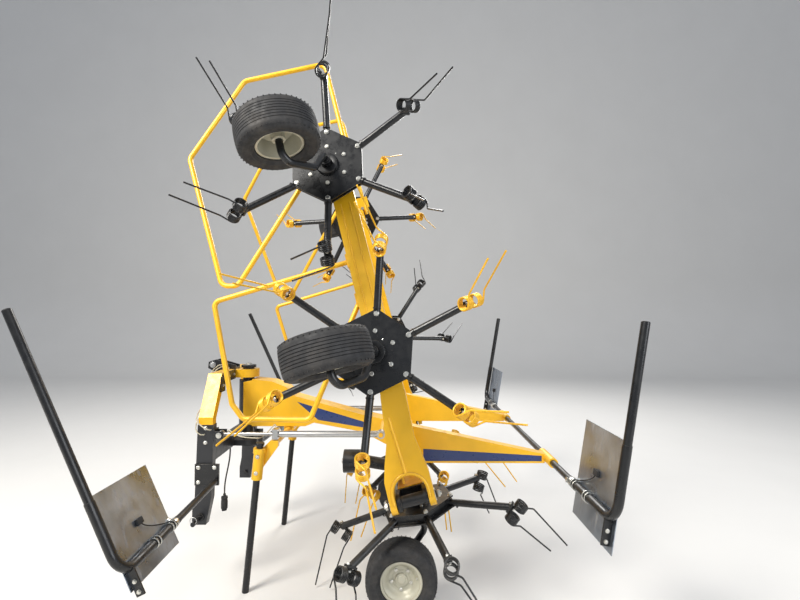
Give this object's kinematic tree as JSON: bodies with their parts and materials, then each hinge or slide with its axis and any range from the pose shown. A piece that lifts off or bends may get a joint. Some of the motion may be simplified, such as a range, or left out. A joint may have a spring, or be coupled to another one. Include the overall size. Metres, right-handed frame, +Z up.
{
  "type": "mounted rotary hay tedder",
  "caption": "Three-point mounted rotary hay tedder with tined rotors, wings folded up for the road, on its wheels and stands.",
  "frame": {"origin": "on the floor under the middle of the bounding box", "axes": "-X forward to the tractor, +Y to the machine's right, +Z up"},
  "size_m": [2.645, 3.0366, 3.3851],
  "materials": {
    "yellow_paint": "satin",
    "black_paint": "satin",
    "grey_paint": "satin",
    "bare_metal": "satin",
    "board_metal": "satin",
    "rubber": "matte",
    "rim_paint": "satin",
    "pale_rope": "matte",
    "cable_rubber": "matte",
    "yellow_wire": "gloss",
    "black_wire": "gloss"
  },
  "bodies": {
    "frame": {"centre_beam": "yellow_paint", "centre_gearboxes": "black_paint", "driveline": "black_paint", "pto_stub": "bare_metal", "hitch_beam": "yellow_paint", "pivot_post": "black_paint", "rear_beams": "yellow_paint", "rear_light_bar": "black_paint", "rear_boards": "board_metal", "stand_holders": "yellow_paint", "strut_tubes": "bare_metal"},
    "headstock": {"headstock_arch": "yellow_paint", "headstock_legs": "grey_paint", "link_pins": "black_paint", "top_link_bracket": "black_paint", "front_light_bars": "black_paint", "front_boards": "board_metal", "ropes": "pale_rope", "cable": "cable_rubber", "cable_plug": "cable_rubber"},
    "stand_left": {"stand_leg_left": "black_paint"},
    "strut_rod_left": {"strut_rod_left": "bare_metal", "strut_rope": "pale_rope"},
    "wing_left": {"wing_beam_left": "yellow_paint", "wing_guards_left": "yellow_paint", "wing_gearboxes_left": "black_paint"},
    "fold_barrel_left": {"fold_barrel_left": "black_paint"},
    "fold_rod_left": {"fold_rod_left": "bare_metal"},
    "stand_right": {"stand_leg_right": "black_paint"},
    "strut_rod_right": {"strut_rod_right": "bare_metal"},
    "wing_right": {"wing_beam_right": "yellow_paint", "wing_guards_right": "yellow_paint", "wing_gearboxes_right": "black_paint"},
    "fold_barrel_right": {"fold_barrel_right": "black_paint"},
    "fold_rod_right": {"fold_rod_right": "bare_metal"},
    "rotor_body_centre_left": {"rotor_centre_left": "black_paint", "tines_centre_left": "black_wire"},
    "wheel_centre_left": {"tyre_centre_left": "rubber", "rim_centre_left": "rim_paint"},
    "rotor_body_middle_left": {"rotor_middle_left": "black_paint", "tines_middle_left": "yellow_wire"},
    "wheel_middle_left": {"tyre_middle_left": "rubber", "rim_middle_left": "rim_paint"},
    "rotor_body_outer_left": {"rotor_outer_left": "black_paint", "tines_outer_left": "black_wire"},
    "wheel_outer_left": {"tyre_outer_left": "rubber", "rim_outer_left": "rim_paint"},
    "rotor_body_centre_right": {"rotor_centre_right": "black_paint", "tines_centre_right": "yellow_wire"},
    "wheel_centre_right": {"tyre_centre_right": "rubber", "rim_centre_right": "rim_paint"},
    "rotor_body_middle_right": {"rotor_middle_right": "black_paint", "tines_middle_right": "black_wire"},
    "wheel_middle_right": {"tyre_middle_right": "rubber", "rim_middle_right": "rim_paint"},
    "rotor_body_outer_right": {"rotor_outer_right": "black_paint", "tines_outer_right": "yellow_wire"},
    "wheel_outer_right": {"tyre_outer_right": "rubber", "rim_outer_right": "rim_paint"}
  },
  "joints": [
    {"name": "headstock_swing", "type": "hinge", "parent": "frame", "child": "headstock", "pos_m": [-0.8134, 0, 1], "axis": [0, 0, 1], "range_deg": [-8, 8]},
    {"name": "stand_slide_left", "type": "slide", "parent": "frame", "child": "stand_left", "axis": [0.0906, 0, 0.9959], "range_m": [0, 0.35]},
    {"name": "strut_slide_left", "type": "slide", "parent": "frame", "child": "strut_rod_left", "axis": [1, 0, 0], "range_m": [-0.0569, 0.0569]},
    {"name": "wing_fold_left", "type": "hinge", "parent": "frame", "child": "wing_left", "pos_m": [0.35706, -0.8765, 0.73137], "axis": [0.9668, 0, 0.2554], "range_deg": [0, 94.8]},
    {"name": "barrel_tilt_left", "type": "hinge", "parent": "frame", "child": "fold_barrel_left", "pos_m": [0.26585, -0.1765, 0.84172], "axis": [-0.9668, 0, -0.2554], "range_deg": [-0.1, 7.05]},
    {"name": "rod_slide_left", "type": "slide", "parent": "fold_barrel_left", "child": "fold_rod_left", "axis": [0.022, -0.9963, -0.0832], "range_m": [-0.001, 0.2807]},
    {"name": "stand_slide_right", "type": "slide", "parent": "frame", "child": "stand_right", "axis": [0.0906, 0, 0.9959], "range_m": [0, 0.35]},
    {"name": "strut_slide_right", "type": "slide", "parent": "frame", "child": "strut_rod_right", "axis": [1, 0, 0], "range_m": [-0.0569, 0.0569]},
    {"name": "wing_fold_right", "type": "hinge", "parent": "frame", "child": "wing_right", "pos_m": [0.35706, 0.8765, 0.73137], "axis": [-0.9668, 0, -0.2554], "range_deg": [0, 94.8]},
    {"name": "barrel_tilt_right", "type": "hinge", "parent": "frame", "child": "fold_barrel_right", "pos_m": [0.26585, 0.1765, 0.84172], "axis": [0.9668, 0, 0.2554], "range_deg": [-0.1, 7.05]},
    {"name": "rod_slide_right", "type": "slide", "parent": "fold_barrel_right", "child": "fold_rod_right", "axis": [0.022, 0.9963, -0.0832], "range_m": [-0.001, 0.2807]},
    {"name": "rotor_spin_centre_left", "type": "hinge", "parent": "frame", "child": "rotor_body_centre_left", "pos_m": [0.4056, -0.5535, 0.54767], "axis": [-0.2554, 0, 0.9668], "continuous": true},
    {"name": "wheel_spin_centre_left", "type": "hinge", "parent": "frame", "child": "wheel_centre_left", "pos_m": [0.29625, -0.6535, 0.206], "axis": [0, 1, 0], "continuous": true},
    {"name": "rotor_spin_middle_left", "type": "hinge", "parent": "wing_left", "child": "rotor_body_middle_left", "pos_m": [0.15146, -0.93028, 1.50956], "axis": [0.0435, 0.9854, -0.1646], "continuous": true},
    {"name": "wheel_spin_middle_left", "type": "hinge", "parent": "wing_left", "child": "wheel_middle_left", "pos_m": [-0.02943, -1.30474, 1.52867], "axis": [0.2517, -0.1702, -0.9527], "continuous": true},
    {"name": "rotor_spin_outer_left", "type": "hinge", "parent": "wing_left", "child": "rotor_body_outer_left", "pos_m": [-0.1272, -0.74186, 2.56422], "axis": [0.0435, 0.9854, -0.1646], "continuous": true},
    {"name": "wheel_spin_outer_left", "type": "hinge", "parent": "wing_left", "child": "wheel_outer_left", "pos_m": [-0.30808, -1.11632, 2.58332], "axis": [0.2517, -0.1702, -0.9527], "continuous": true},
    {"name": "rotor_spin_centre_right", "type": "hinge", "parent": "frame", "child": "rotor_body_centre_right", "pos_m": [0.4056, 0.5535, 0.54767], "axis": [-0.2554, 0, 0.9668], "continuous": true},
    {"name": "wheel_spin_centre_right", "type": "hinge", "parent": "frame", "child": "wheel_centre_right", "pos_m": [0.29625, 0.6535, 0.206], "axis": [0, 1, 0], "continuous": true},
    {"name": "rotor_spin_middle_right", "type": "hinge", "parent": "wing_right", "child": "rotor_body_middle_right", "pos_m": [0.15146, 0.93028, 1.50956], "axis": [0.0435, -0.9854, -0.1646], "continuous": true},
    {"name": "wheel_spin_middle_right", "type": "hinge", "parent": "wing_right", "child": "wheel_middle_right", "pos_m": [-0.02943, 1.30474, 1.52867], "axis": [-0.2517, -0.1702, 0.9527], "continuous": true},
    {"name": "rotor_spin_outer_right", "type": "hinge", "parent": "wing_right", "child": "rotor_body_outer_right", "pos_m": [-0.1272, 0.74186, 2.56422], "axis": [0.0435, -0.9854, -0.1646], "continuous": true},
    {"name": "wheel_spin_outer_right", "type": "hinge", "parent": "wing_right", "child": "wheel_outer_right", "pos_m": [-0.30808, 1.11632, 2.58332], "axis": [-0.2517, -0.1702, 0.9527], "continuous": true}
  ],
  "couplings": [
    {"joint": "strut_slide_left", "follows": "headstock_swing", "m_per_rad": 0.4},
    {"joint": "barrel_tilt_left", "follows": "wing_fold_left", "ratio": 0.073305},
    {"joint": "rod_slide_left", "follows": "wing_fold_left", "m_per_rad": 0.16905},
    {"joint": "strut_slide_right", "follows": "headstock_swing", "m_per_rad": -0.4},
    {"joint": "barrel_tilt_right", "follows": "wing_fold_right", "ratio": 0.073305},
    {"joint": "rod_slide_right", "follows": "wing_fold_right", "m_per_rad": 0.16905},
    {"joint": "rotor_spin_middle_left", "follows": "rotor_spin_centre_left", "ratio": -1},
    {"joint": "rotor_spin_outer_left", "follows": "rotor_spin_centre_left", "ratio": 1},
    {"joint": "rotor_spin_centre_right", "follows": "rotor_spin_centre_left", "ratio": -1},
    {"joint": "rotor_spin_middle_right", "follows": "rotor_spin_centre_left", "ratio": 1},
    {"joint": "rotor_spin_outer_right", "follows": "rotor_spin_centre_left", "ratio": -1}
  ]
}
